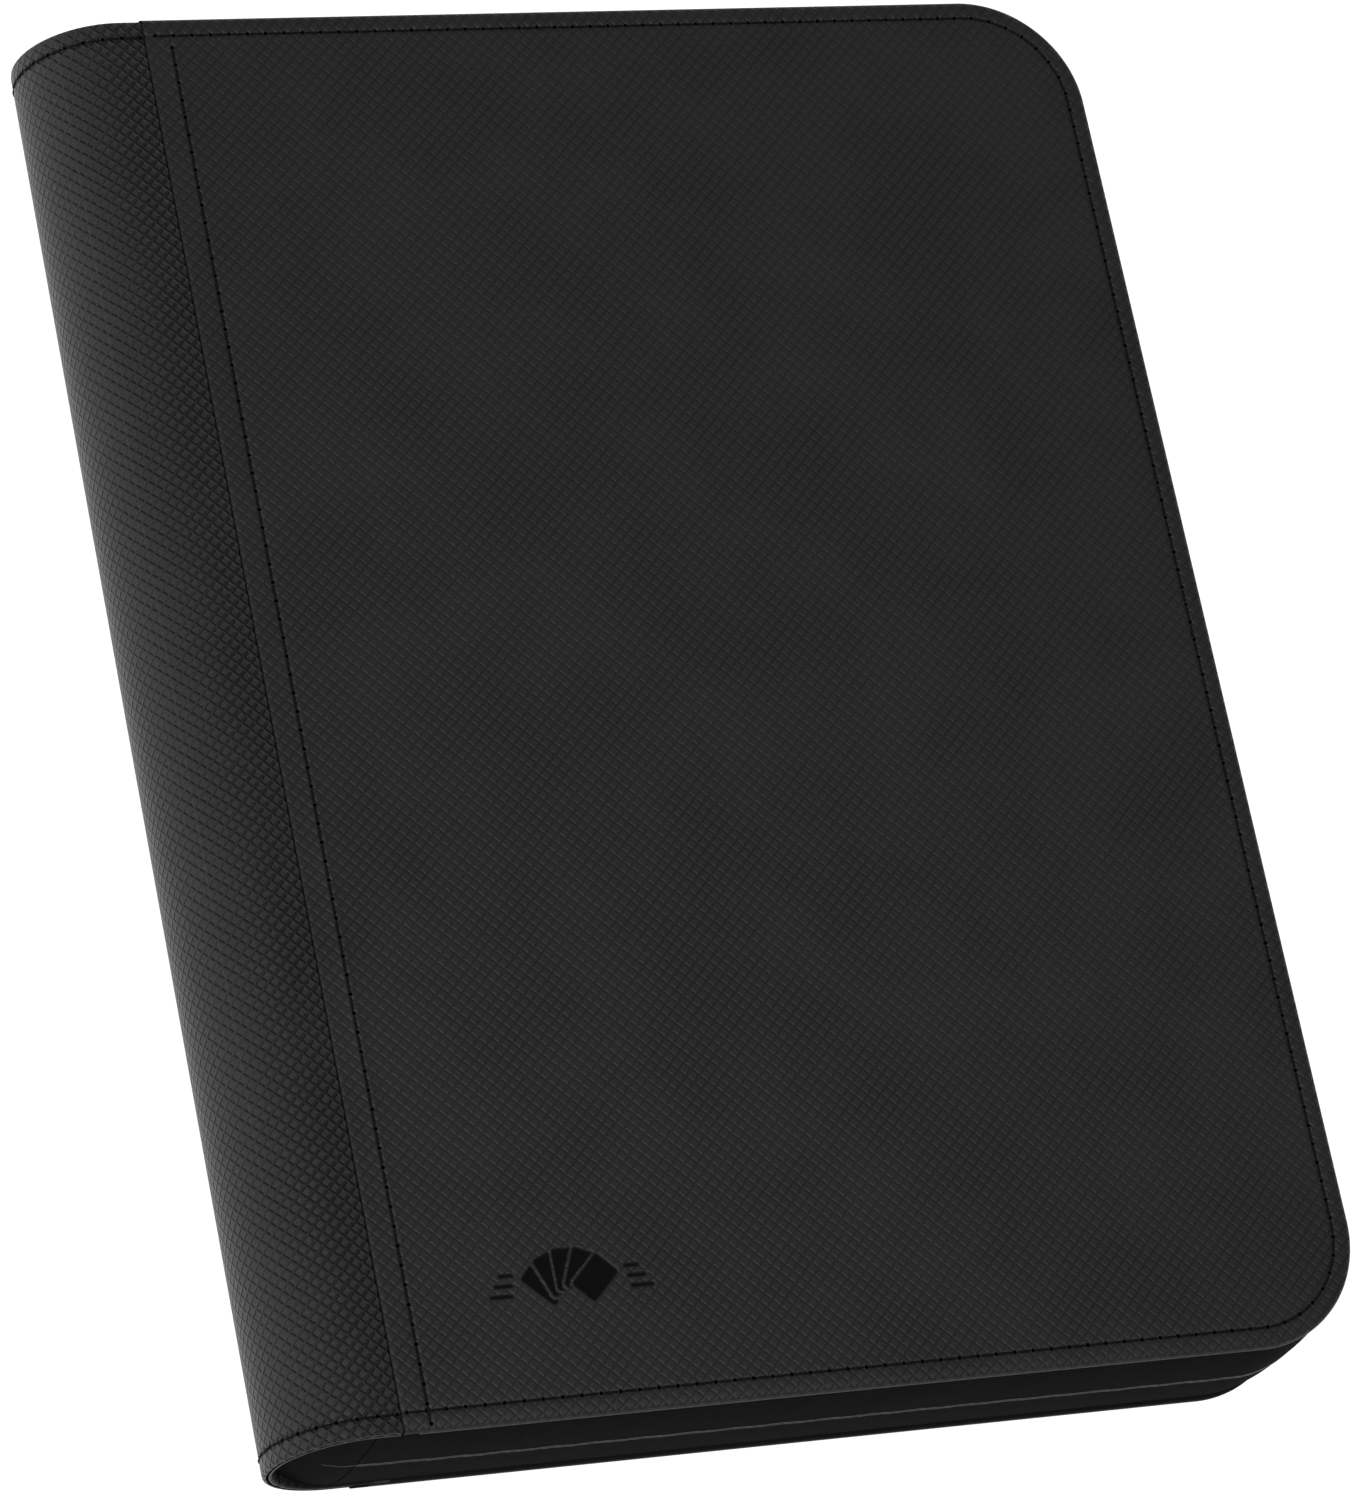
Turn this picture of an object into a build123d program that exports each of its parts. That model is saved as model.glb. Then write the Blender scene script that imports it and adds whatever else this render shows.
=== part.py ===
from build123d import *
import math
import os

# Zip-round trading card binder, closed and lying on its back cover.
# +X points to the fore edge, +Y to the head, +Z up through the thickness.
# The origin is the centre of the back cover's outer face. Units are millimetres.

# Overall size
WIDTH = 266.0
HEIGHT = 350.0
THICKNESS = 43.5
CORNER_RADIUS = 28.5
MID_Z = THICKNESS / 2
HALF_HEIGHT = HEIGHT / 2
FORE_X = WIDTH / 2

# Layers of a cover, from the outside in
SKIN = 0.9
BOARD = 1.8
LINING = 0.5
COVER = SKIN + BOARD + LINING
RIM = 1.1  # width of the skin turned round the board's edge
SKIN_EDGE_RADIUS = 1.3

# Rounded spine: a half cylinder of three layers, cut into strips that unroll
SPINE_SKIN = 0.9
SPINE_STIFFENER = BOARD - SPINE_SKIN
SPINE_RADIUS = MID_Z - SKIN
SPINE_STIFFENER_RADIUS = SPINE_RADIUS - SPINE_SKIN
SPINE_LINING_RADIUS = SPINE_STIFFENER_RADIUS - SPINE_STIFFENER
SPINE_INNER_RADIUS = SPINE_LINING_RADIUS - LINING
SPINE_X = SPINE_RADIUS - FORE_X
SPINE_HALF_LENGTH = HALF_HEIGHT - 0.3
SEAM_X = SPINE_X + 5.15  # free edge of each cover's outer panel
FLAP_X = SEAM_X + 9.0  # where the spine's layers end under that panel
BOTTOM_ANGLE = 270.0
STAVE_ANGLE = 22.5
PANEL = 3
# Start angle and sweep of each strip, from the back cover round to the front.
# The middle one is the panel that the pages are bound to, and the others are narrow staves.
STRIPS = (
    (BOTTOM_ANGLE - STAVE_ANGLE, STAVE_ANGLE),
    (BOTTOM_ANGLE - 2 * STAVE_ANGLE, STAVE_ANGLE),
    (BOTTOM_ANGLE - 3 * STAVE_ANGLE, 2 * STAVE_ANGLE),
    (BOTTOM_ANGLE - 5 * STAVE_ANGLE, STAVE_ANGLE),
    (BOTTOM_ANGLE - 6 * STAVE_ANGLE, STAVE_ANGLE),
)
STRIP_GAP = 0.3

# Zip: a standing tape on each cover, sewn to it by a flange, with a coil inside
TAPE = 0.8
TAPE_INSET = 0.3
TAPE_FLANGE_OUTER = 0.3
TAPE_FLANGE_INNER = 7.0
LINING_INSET = TAPE_FLANGE_INNER + 0.2
ZIP_HALF_GAP = 0.7  # room for the slider's post between the two halves
COIL_INSET = TAPE_INSET + TAPE + 0.1
COIL_DEPTH = 2.0
COIL_WIDTH = 2.6
COIL_TAIL_X = SPINE_X + 4.0
GUSSET_RADIUS = SPINE_INNER_RADIUS - 0.55
GUSSET_GAP = 0.5  # between the flat side of a gusset and the ends of the tapes
GUSSET_SEAT_ANGLE = 39.0

# Slider, parked at the spine end of the head edge
SLIDER_LENGTH = 14.0
SLIDER_WIDTH = 9.4
SLIDER_PLATE = 1.0
SLIDER_X = SPINE_X + 19.0
SLIDER_FLANGE = 1.0
SLIDER_CLEARANCE = 0.15
COIL_CLEARANCE = 0.25
POST_LENGTH = 5.0
POST_HALF_WIDTH = 0.45
COIL_HEAD_X = SLIDER_X + SLIDER_LENGTH / 2 + 0.8
TAPE_OUTER_Y = HALF_HEIGHT - TAPE_INSET
TAPE_INNER_Y = TAPE_OUTER_Y - TAPE
COIL_INNER_Y = HALF_HEIGHT - COIL_INSET - COIL_DEPTH
SLIDER_OUTER_Y = TAPE_OUTER_Y + SLIDER_CLEARANCE
SLIDER_TOP_Y = SLIDER_OUTER_Y + SLIDER_PLATE
SLIDER_INNER_Y = COIL_INNER_Y - COIL_CLEARANCE

# Bridge on the slider, and the pull that hangs from it
BRIDGE_LENGTH = 10.6
BRIDGE_WIDTH = 1.6
BRIDGE_WALL = 0.8
PULL_BAR_RADIUS = 0.55
PULL_CLEARANCE = 0.2
PULL_Y = SLIDER_TOP_Y + PULL_CLEARANCE + PULL_BAR_RADIUS
BRIDGE_ROOM = 2 * (PULL_CLEARANCE + PULL_BAR_RADIUS)
PULL_WIDTH = 6.4
PULL_EYE_LENGTH = 6.0
PULL_EYE_WIDTH = 2.8
PULL_LINK_LENGTH = 12.0
PULL_TONGUE_WIDTH = 3.6
PULL_TONGUE_LENGTH = 17.0
GRIP_LENGTH = 23.0
GRIP_WIDTH = 8.0
GRIP_THICKNESS = 2.2

# Crimped stops at the spine end of each tape
STOP_LENGTH = 3.0
STOP_WIDTH = 2.4
STOP_WALL = 0.5
STOP_HEAD_X = SLIDER_X - SLIDER_LENGTH / 2 - 3.5
STOP_TAIL_X = SPINE_X + 2.2

# Pages: a core sheet with welded pockets on both faces, all turning on one line
PAGES = 20
PAGE_PITCH = 1.72
PAGE_CORE = 0.3
POCKET_FILM = 0.25
PAGE_LINE_X = SPINE_X + 1.0  # the line that every page turns on
PAGE_ROOT_GAP = 1.0
PAGE_ROOT_STRIP = 11.0
POCKET_WIDTH = 69.0
POCKET_HEIGHT = 94.0
POCKET_WELD = 2.0
POCKET_ROWS = 3
POCKET_COLUMNS = 3
PAGE_BORDER = 3.0
PAGE_CORNER_RADIUS = 6.0

# Binding strip that carries the pages: a saddle riveted inside the spine's panel, with a fin
BINDING_FIN = 1.0
BINDING_CLEARANCE = 0.5
SADDLE_X = SPINE_X - 17.3  # the saddle's flat face
SADDLE_WIDTH = 10.0
RIVETS = 6
RIVET_PITCH = 54.0
RIVET_RADIUS = 1.0
RIVET_HOLE_RADIUS = 1.05
RIVET_HEAD_RADIUS = 1.7
RIVET_HEAD = 0.6
RIVET_OFFSET = 3.0  # of each row from the middle of the thickness
RIVET_FOOT_X = SPINE_X - 19.5

MID_PLANE = Plane.XY.offset(MID_Z)
# Looks out of the head edge: its local X is the row's X, and it extrudes towards the head.
HEAD_PLANE = Plane(origin=(0, 0, MID_Z), x_dir=(1, 0, 0), z_dir=(0, 1, 0))


def save(piece, name):
    """Labels a finished piece and writes it as its own node."""
    piece.part.label = name
    export_step(piece.part, f"parts/{name}.step")


def turn_over(side):
    """Inside a part: moves a back-cover piece to the same place on the front cover."""
    if side == "front":
        mirror(about=MID_PLANE, mode=Mode.REPLACE)


def cover_area(inset, start_x):
    """The cover's outline drawn in by inset, from start_x to the fore edge."""
    fore = FORE_X - inset
    with BuildSketch(mode=Mode.PRIVATE) as area:
        with Locations(((start_x + fore) / 2, 0)):
            Rectangle(fore - start_x, HEIGHT - 2 * inset)
        fillet(area.vertices().group_by(Axis.X)[-1], CORNER_RADIUS - inset)
    return area.sketch


def edge_band(outer_inset, inner_inset, start_x):
    """A band that follows the head, fore and tail edges between two insets."""
    with BuildSketch(mode=Mode.PRIVATE) as band:
        add(cover_area(outer_inset, start_x))
        add(cover_area(inner_inset, start_x - 1), mode=Mode.SUBTRACT)
    return band.sketch


def strip_trim():
    """Half the gap between neighbouring strips, as an angle."""
    return math.degrees(STRIP_GAP / 2 / SPINE_RADIUS)


def strip_section(outer, inner, index):
    """Cross-section of one layer of strip number index, counted from the back cover."""
    start = STRIPS[index - 1][0] - strip_trim()
    sweep = 2 * strip_trim() - STRIPS[index - 1][1]
    with BuildSketch(Plane.XZ, mode=Mode.PRIVATE) as section:
        with BuildLine():
            outside = CenterArc((SPINE_X, MID_Z), outer, start, sweep)
            inside = CenterArc((SPINE_X, MID_Z), inner, start, sweep)
            Line(outside @ 0, inside @ 0)
            Line(outside @ 1, inside @ 1)
        make_face()
    return section.sketch


def flap_section(outer, inner, end_x):
    """Cross-section of one spine layer where it lies flat on the back cover and starts to curve up."""
    sweep = strip_trim() - STAVE_ANGLE
    with BuildSketch(Plane.XZ, mode=Mode.PRIVATE) as section:
        with BuildLine():
            outside = CenterArc((SPINE_X, MID_Z), outer, BOTTOM_ANGLE, sweep)
            inside = CenterArc((SPINE_X, MID_Z), inner, BOTTOM_ANGLE, sweep)
            Line(outside @ 1, inside @ 1)
            Polyline(outside @ 0, (end_x, MID_Z - outer), (end_x, MID_Z - inner), inside @ 0)
        make_face()
    return section.sketch


def make_skin(side):
    """Outer panel: a sheet turned round the board on three edges, with a free edge at the seam."""
    with BuildPart() as skin:
        with BuildSketch():
            add(cover_area(0, SEAM_X))
        extrude(amount=SKIN)
        with BuildSketch(Plane.XY.offset(SKIN)):
            add(edge_band(0, RIM, FLAP_X))
        extrude(amount=BOARD)
        outline = skin.edges().filter_by_position(Axis.Z, -0.01, 0.01)
        fillet(outline.filter_by_position(Axis.X, SEAM_X + 1, FORE_X + 1), SKIN_EDGE_RADIUS)
        turn_over(side)
    save(skin, f"{side}_skin")


def make_board(side):
    """Stiff board inside the skin."""
    with BuildPart() as board:
        with BuildSketch(Plane.XY.offset(SKIN)):
            add(cover_area(RIM, FLAP_X))
        extrude(amount=BOARD)
        turn_over(side)
    save(board, f"{side}_board")


def make_lining(side):
    """Fabric lining of a cover, which runs on over the first turn of the spine."""
    with BuildPart() as lining:
        with BuildSketch(Plane.XY.offset(SKIN + BOARD)):
            add(cover_area(LINING_INSET, FLAP_X))
        extrude(amount=LINING)
        with BuildSketch(Plane.XZ):
            add(flap_section(SPINE_LINING_RADIUS, SPINE_INNER_RADIUS, FLAP_X))
        extrude(amount=SPINE_HALF_LENGTH, both=True)
        turn_over(side)
    save(lining, f"{side}_lining")


def make_flap(side, name, outer, inner):
    """One spine layer's flat edge, caught between a cover's outer panel and its lining."""
    with BuildPart() as flap:
        with BuildSketch(Plane.XZ):
            add(flap_section(outer, inner, FLAP_X))
        extrude(amount=SPINE_HALF_LENGTH, both=True)
        turn_over(side)
    save(flap, f"{side}_{name}")


def rivet_places(radius):
    """Circles at the binding's rivets, on a plane across X."""
    with BuildSketch(mode=Mode.PRIVATE) as places:
        with Locations((0, MID_Z)):
            with GridLocations(RIVET_PITCH, 2 * RIVET_OFFSET, RIVETS, 2):
                Circle(radius)
    return places.sketch


def make_strip(index):
    """One strip of the spine, as its skin, stiffener and lining. Rivets go through the panel's inner two."""
    layers = {
        "skin": (SPINE_RADIUS, SPINE_STIFFENER_RADIUS),
        "stiffener": (SPINE_STIFFENER_RADIUS, SPINE_LINING_RADIUS),
        "lining": (SPINE_LINING_RADIUS, SPINE_INNER_RADIUS),
    }
    for layer, (outer, inner) in layers.items():
        with BuildPart() as strip:
            with BuildSketch(Plane.XZ):
                add(strip_section(outer, inner, index))
            extrude(amount=SPINE_HALF_LENGTH, both=True)
            if index == PANEL and layer != "skin":
                with BuildSketch(Plane.YZ.offset(SPINE_X - SPINE_RADIUS)):
                    add(rivet_places(RIVET_HOLE_RADIUS))
                extrude(amount=SPINE_RADIUS / 2, mode=Mode.SUBTRACT)
        save(strip, f"spine_{layer}_{index}")


def make_tape(side, name):
    """Half of the zip tape: a wall along three edges, on a flange sewn under the lining's edge."""
    with BuildPart() as tape:
        with BuildSketch(Plane.XY.offset(SKIN + BOARD)):
            add(edge_band(TAPE_FLANGE_OUTER, TAPE_FLANGE_INNER, FLAP_X))
        extrude(amount=LINING)
        with BuildSketch(Plane.XY.offset(COVER)):
            add(edge_band(TAPE_INSET, TAPE_INSET + TAPE, SPINE_X))
        extrude(amount=MID_Z - ZIP_HALF_GAP - COVER)
        turn_over(side)
    save(tape, f"{name}_zip_tape")


def make_coil(side, name):
    """Half of the zip coil, as a plain bar. It stops short of the parked slider."""
    parked = COIL_HEAD_X - COIL_TAIL_X
    with BuildPart() as coil:
        with BuildSketch(Plane.XY.offset(MID_Z - ZIP_HALF_GAP - COIL_WIDTH)):
            add(edge_band(COIL_INSET, COIL_INSET + COIL_DEPTH, COIL_TAIL_X))
            with Locations((COIL_HEAD_X - parked / 2, HALF_HEIGHT)):
                Rectangle(parked + 2, HEIGHT / 4, mode=Mode.SUBTRACT)
        extrude(amount=COIL_WIDTH)
        turn_over(side)
    save(coil, f"{name}_zip_coil")


def make_tape_stops(side, name):
    """Two metal stops crimped over the tape's free edge, one at each end of its run."""
    top = MID_Z - ZIP_HALF_GAP
    middle_y = (TAPE_OUTER_Y + TAPE_INNER_Y) / 2
    with BuildPart() as stops:
        for x, y in ((STOP_HEAD_X, middle_y), (STOP_TAIL_X, -middle_y)):
            with BuildSketch(Plane.XY.offset(top - STOP_WIDTH)):
                with Locations((x, y)):
                    Rectangle(STOP_LENGTH, TAPE + 2 * STOP_WALL)
                    Rectangle(STOP_LENGTH + 1, TAPE, mode=Mode.SUBTRACT)
            extrude(amount=STOP_WIDTH)
            with BuildSketch(Plane.XY.offset(top)):
                with Locations((x, y)):
                    Rectangle(STOP_LENGTH, TAPE + 2 * STOP_WALL)
            extrude(amount=ZIP_HALF_GAP / 2)
        turn_over(side)
    save(stops, f"{name}_tape_stops")


def make_gussets():
    """Half discs on the spine's panel, which close the spine's hollow at the head and the tail."""
    first = 180 + GUSSET_SEAT_ANGLE / 2
    with BuildPart() as gussets:
        for middle_y in (TAPE_OUTER_Y - TAPE / 2, TAPE / 2 - TAPE_OUTER_Y):
            with BuildSketch(Plane.XZ.offset(-middle_y)):
                with Locations((SPINE_X, MID_Z)):
                    Circle(GUSSET_RADIUS)
                with Locations((SPINE_X - GUSSET_GAP, MID_Z)):
                    Rectangle(
                        2 * GUSSET_RADIUS,
                        3 * GUSSET_RADIUS,
                        align=(Align.MIN, Align.CENTER),
                        mode=Mode.SUBTRACT,
                    )
                with BuildLine():
                    seat = CenterArc((SPINE_X, MID_Z), SPINE_INNER_RADIUS, first, -GUSSET_SEAT_ANGLE)
                    inside = CenterArc((SPINE_X, MID_Z), GUSSET_RADIUS - 0.5, first, -GUSSET_SEAT_ANGLE)
                    Line(seat @ 0, inside @ 0)
                    Line(seat @ 1, inside @ 1)
                make_face()
            extrude(amount=TAPE / 2, both=True)
    save(gussets, "zip_end_gussets")


def make_slider():
    """Zip slider: two plates joined by a post, with flanges that keep the coil in."""
    front = SLIDER_X - SLIDER_LENGTH / 2
    with BuildPart() as slider:
        for level in (SLIDER_OUTER_Y, SLIDER_INNER_Y - SLIDER_PLATE):
            with BuildSketch(HEAD_PLANE.offset(level)) as plate:
                with Locations((SLIDER_X, 0)):
                    Rectangle(SLIDER_LENGTH, SLIDER_WIDTH)
                fillet(plate.vertices().group_by(Axis.X)[0], 1.6)
                fillet(plate.vertices().group_by(Axis.X)[-1], 3.0)
            extrude(amount=SLIDER_PLATE)
        with BuildSketch(HEAD_PLANE.offset(SLIDER_INNER_Y)):
            with Locations((SLIDER_X - 0.4, 0)):
                with GridLocations(1, SLIDER_WIDTH - SLIDER_FLANGE, 1, 2):
                    Rectangle(SLIDER_LENGTH - 5.2, SLIDER_FLANGE)
        extrude(amount=TAPE_INNER_Y - SLIDER_CLEARANCE - SLIDER_INNER_Y)
        with BuildSketch(HEAD_PLANE.offset(SLIDER_INNER_Y)):
            with Locations((front + 0.6 + POST_LENGTH / 2, 0)):
                RectangleRounded(POST_LENGTH, 2 * POST_HALF_WIDTH, POST_HALF_WIDTH * 0.9)
        extrude(amount=SLIDER_OUTER_Y - SLIDER_INNER_Y)
        outer_face = slider.faces().sort_by(Axis.Y)[-1]
        fillet(outer_face.edges(), 0.45)
        inner_face = slider.faces().sort_by(Axis.Y)[0]
        fillet(inner_face.edges(), 0.3)
    save(slider, "slider_body")


def make_bridge():
    """Bridge over the slider's outer plate, which the pull's bar turns under."""
    with BuildPart() as bridge:
        with BuildSketch(MID_PLANE) as arch:
            with Locations((SLIDER_X, SLIDER_TOP_Y)):
                Rectangle(BRIDGE_LENGTH, BRIDGE_ROOM + BRIDGE_WALL, align=(Align.CENTER, Align.MIN))
            fillet(arch.vertices().group_by(Axis.Y)[-1], 1.2)
            with Locations((SLIDER_X, SLIDER_TOP_Y)):
                Rectangle(
                    BRIDGE_LENGTH - 2 * BRIDGE_WALL,
                    BRIDGE_ROOM,
                    align=(Align.CENTER, Align.MIN),
                    mode=Mode.SUBTRACT,
                )
        extrude(amount=BRIDGE_WIDTH / 2, both=True)
    save(bridge, "slider_bridge")


def tongue_area():
    """Outline of the pull link's tongue, on the head plane."""
    start = SLIDER_X + PULL_LINK_LENGTH
    with BuildSketch(mode=Mode.PRIVATE) as tongue:
        with Locations((start + PULL_TONGUE_LENGTH / 2 - 1, 0)):
            Rectangle(PULL_TONGUE_LENGTH + 2, PULL_TONGUE_WIDTH)
        fillet(tongue.vertices().group_by(Axis.X)[-1], 1.2)
    return tongue.sketch


def make_pull_link():
    """Metal link of the pull: a bar under the bridge, an eye round it and a tongue for the grip."""
    with BuildPart() as link:
        with BuildSketch(HEAD_PLANE.offset(PULL_Y)) as outline:
            with Locations((SLIDER_X, 0)):
                Rectangle(PULL_LINK_LENGTH, PULL_WIDTH, align=(Align.MIN, Align.CENTER))
            fillet(outline.vertices().group_by(Axis.X)[-1], 2.0)
            add(tongue_area())
            with Locations((SLIDER_X, 0)):
                Rectangle(
                    PULL_BAR_RADIUS + PULL_EYE_LENGTH,
                    PULL_EYE_WIDTH,
                    align=(Align.MIN, Align.CENTER),
                    mode=Mode.SUBTRACT,
                )
        extrude(amount=PULL_BAR_RADIUS, both=True)
        with BuildSketch(MID_PLANE):
            with Locations((SLIDER_X, PULL_Y)):
                Circle(PULL_BAR_RADIUS)
        extrude(amount=PULL_WIDTH / 2, both=True)
    save(link, "pull_link")


def make_pull_grip():
    """Moulded rubber grip over the link's tongue."""
    with BuildPart() as grip:
        with BuildSketch(HEAD_PLANE.offset(PULL_Y)) as outline:
            with Locations((SLIDER_X + PULL_LINK_LENGTH, 0)):
                Rectangle(GRIP_LENGTH, GRIP_WIDTH, align=(Align.MIN, Align.CENTER))
            fillet(outline.vertices(), 2.6)
        extrude(amount=GRIP_THICKNESS / 2, both=True)
        fillet(grip.faces().group_by(Axis.Y)[-1].edges() + grip.faces().group_by(Axis.Y)[0].edges(), 0.6)
        with BuildSketch(HEAD_PLANE.offset(PULL_Y)):
            add(tongue_area())
        extrude(amount=PULL_BAR_RADIUS, both=True, mode=Mode.SUBTRACT)
    save(grip, "pull_grip")


def page_height():
    """A page's length along the spine."""
    return POCKET_ROWS * POCKET_HEIGHT + (POCKET_ROWS - 1) * POCKET_WELD + 2 * PAGE_BORDER


def make_page(index):
    """One page, counted from the back cover: a core sheet with raised pockets and a root strip."""
    z = MID_Z + (index - (PAGES + 1) / 2) * PAGE_PITCH
    root_x = PAGE_LINE_X + PAGE_ROOT_GAP
    pockets_x = root_x + PAGE_ROOT_STRIP + POCKET_WELD
    pockets_width = POCKET_COLUMNS * POCKET_WIDTH + (POCKET_COLUMNS - 1) * POCKET_WELD
    free_x = pockets_x + pockets_width + PAGE_BORDER
    with BuildPart() as page:
        with BuildSketch(Plane.XY.offset(z)) as core:
            with Locations((root_x, 0)):
                Rectangle(free_x - root_x, page_height(), align=(Align.MIN, Align.CENTER))
            fillet(core.vertices().group_by(Axis.X)[-1], PAGE_CORNER_RADIUS)
        extrude(amount=PAGE_CORE / 2)
        with BuildSketch(Plane.XY.offset(z + PAGE_CORE / 2)):
            with Locations((pockets_x + pockets_width / 2, 0)):
                with GridLocations(
                    POCKET_WIDTH + POCKET_WELD, POCKET_HEIGHT + POCKET_WELD, POCKET_COLUMNS, POCKET_ROWS
                ):
                    Rectangle(POCKET_WIDTH, POCKET_HEIGHT)
            with Locations((root_x, 0)):
                Rectangle(PAGE_ROOT_STRIP, page_height(), align=(Align.MIN, Align.CENTER))
        extrude(amount=POCKET_FILM)
        mirror(about=Plane.XY.offset(z))
    save(page, f"page_{index:02d}")


def make_binding():
    """Binding strip: a saddle that fits the inside of the spine, and a fin out to the page line."""
    with BuildPart() as binding:
        with BuildSketch(Plane.XZ):
            with Locations((SPINE_X, MID_Z)):
                Circle(SPINE_INNER_RADIUS)
            with Locations((SADDLE_X, MID_Z)):
                Rectangle(SPINE_RADIUS, SADDLE_WIDTH, align=(Align.MAX, Align.CENTER), mode=Mode.INTERSECT)
            with Locations((SADDLE_X - 0.1, MID_Z)):
                Rectangle(
                    PAGE_LINE_X - BINDING_CLEARANCE - SADDLE_X + 0.1,
                    BINDING_FIN,
                    align=(Align.MIN, Align.CENTER),
                )
        extrude(amount=page_height() / 2, both=True)
        with BuildSketch(Plane.YZ.offset(SPINE_X - SPINE_RADIUS)):
            add(rivet_places(RIVET_HOLE_RADIUS))
        extrude(amount=SPINE_RADIUS / 2, mode=Mode.SUBTRACT)
    save(binding, "page_binding")


def make_rivets():
    """Rivets that hold the saddle, with low domed heads. They stop short of the spine's skin."""
    with BuildPart() as rivets:
        with BuildSketch(Plane.YZ.offset(RIVET_FOOT_X)):
            add(rivet_places(RIVET_RADIUS))
        extrude(amount=SADDLE_X - RIVET_FOOT_X)
        with BuildSketch(Plane.YZ.offset(SADDLE_X)):
            add(rivet_places(RIVET_HEAD_RADIUS))
        extrude(amount=RIVET_HEAD)
        fillet(rivets.edges().group_by(Axis.X)[-1], RIVET_HEAD * 0.7)
    save(rivets, "binding_rivets")


os.makedirs("parts", exist_ok=True)
for side, half in (("back", "lower"), ("front", "upper")):
    make_skin(side)
    make_board(side)
    make_lining(side)
    make_flap(side, "spine_skin_flap", SPINE_RADIUS, SPINE_STIFFENER_RADIUS)
    make_flap(side, "spine_stiffener_flap", SPINE_STIFFENER_RADIUS, SPINE_LINING_RADIUS)
    make_tape(side, half)
    make_coil(side, half)
    make_tape_stops(side, half)
for strip in range(1, len(STRIPS) + 1):
    make_strip(strip)
make_gussets()
make_slider()
make_bridge()
make_pull_link()
make_pull_grip()
for number in range(1, PAGES + 1):
    make_page(number)
make_binding()
make_rivets()
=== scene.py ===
import math

import bpy
import numpy as np
from mathutils import Matrix, Vector


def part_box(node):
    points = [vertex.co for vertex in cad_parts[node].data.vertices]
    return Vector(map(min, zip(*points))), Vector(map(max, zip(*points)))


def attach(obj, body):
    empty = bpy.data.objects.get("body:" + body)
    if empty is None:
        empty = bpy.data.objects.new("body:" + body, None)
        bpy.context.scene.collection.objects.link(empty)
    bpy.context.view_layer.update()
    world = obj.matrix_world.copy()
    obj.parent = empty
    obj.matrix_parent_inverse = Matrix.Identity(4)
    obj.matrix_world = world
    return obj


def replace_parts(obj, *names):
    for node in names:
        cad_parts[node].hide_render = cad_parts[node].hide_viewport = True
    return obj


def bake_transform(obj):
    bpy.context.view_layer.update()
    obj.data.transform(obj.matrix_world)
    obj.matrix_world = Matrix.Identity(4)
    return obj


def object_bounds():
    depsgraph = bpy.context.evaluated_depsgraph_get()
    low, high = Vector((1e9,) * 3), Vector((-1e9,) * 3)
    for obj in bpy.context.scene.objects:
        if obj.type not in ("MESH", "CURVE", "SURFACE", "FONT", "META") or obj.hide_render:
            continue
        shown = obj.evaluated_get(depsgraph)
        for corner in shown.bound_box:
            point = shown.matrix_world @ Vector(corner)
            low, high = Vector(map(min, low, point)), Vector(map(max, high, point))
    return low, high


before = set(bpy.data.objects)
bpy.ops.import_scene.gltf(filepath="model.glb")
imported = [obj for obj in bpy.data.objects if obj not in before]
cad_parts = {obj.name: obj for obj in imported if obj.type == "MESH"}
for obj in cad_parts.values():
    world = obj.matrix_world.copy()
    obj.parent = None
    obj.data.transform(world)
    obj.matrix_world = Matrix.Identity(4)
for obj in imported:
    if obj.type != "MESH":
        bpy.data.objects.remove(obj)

low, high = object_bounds()

# Sizes in millimetres, read from the frame. +X is the fore edge, +Y the head, +Z up.
skin_low, skin_high = (np.array(c) * 1000 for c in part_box("front_skin"))
back_low = np.array(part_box("back_skin")[0]) * 1000
panel_low, panel_high = (np.array(c) * 1000 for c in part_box("spine_skin_3"))
FORE = skin_high[0]
SEAM = skin_low[0]
HALF = skin_high[1]
TOP = skin_high[2]
COVER_DEPTH = skin_high[2] - skin_low[2]
MID = (TOP + back_low[2]) / 2
COVER_STEP = 0.9  # the wrap's face lies this far inside the covers' faces
RADIUS = MID - COVER_STEP
SPINE = panel_low[0] + RADIUS
SPINE_END = panel_high[1]
SPINE_LAYERS = 2.3  # skin and stiffener together
INNER = RADIUS - SPINE_LAYERS
CORNER = 28.5
STITCH_INSET = 4.7
STITCH_PITCH = 4.6
STITCH_GAP = 0.9  # between the ends of two stitches, where the needle went in
THREAD_RADIUS = 0.27
HOLE_RADIUS = 0.47
SEAM_STITCH = SEAM + 6.5
LINING_START = SEAM + 9.0
TILE_PITCH = 2.27
COIL_PITCH = 1.3
PAGE_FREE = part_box("page_01")[1][0] * 1000
rng = np.random.default_rng(7)


# ---------- meshes ----------

def smooth(t):
    t = np.clip(t, 0, 1)
    return t * t * (3 - 2 * t)


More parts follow.
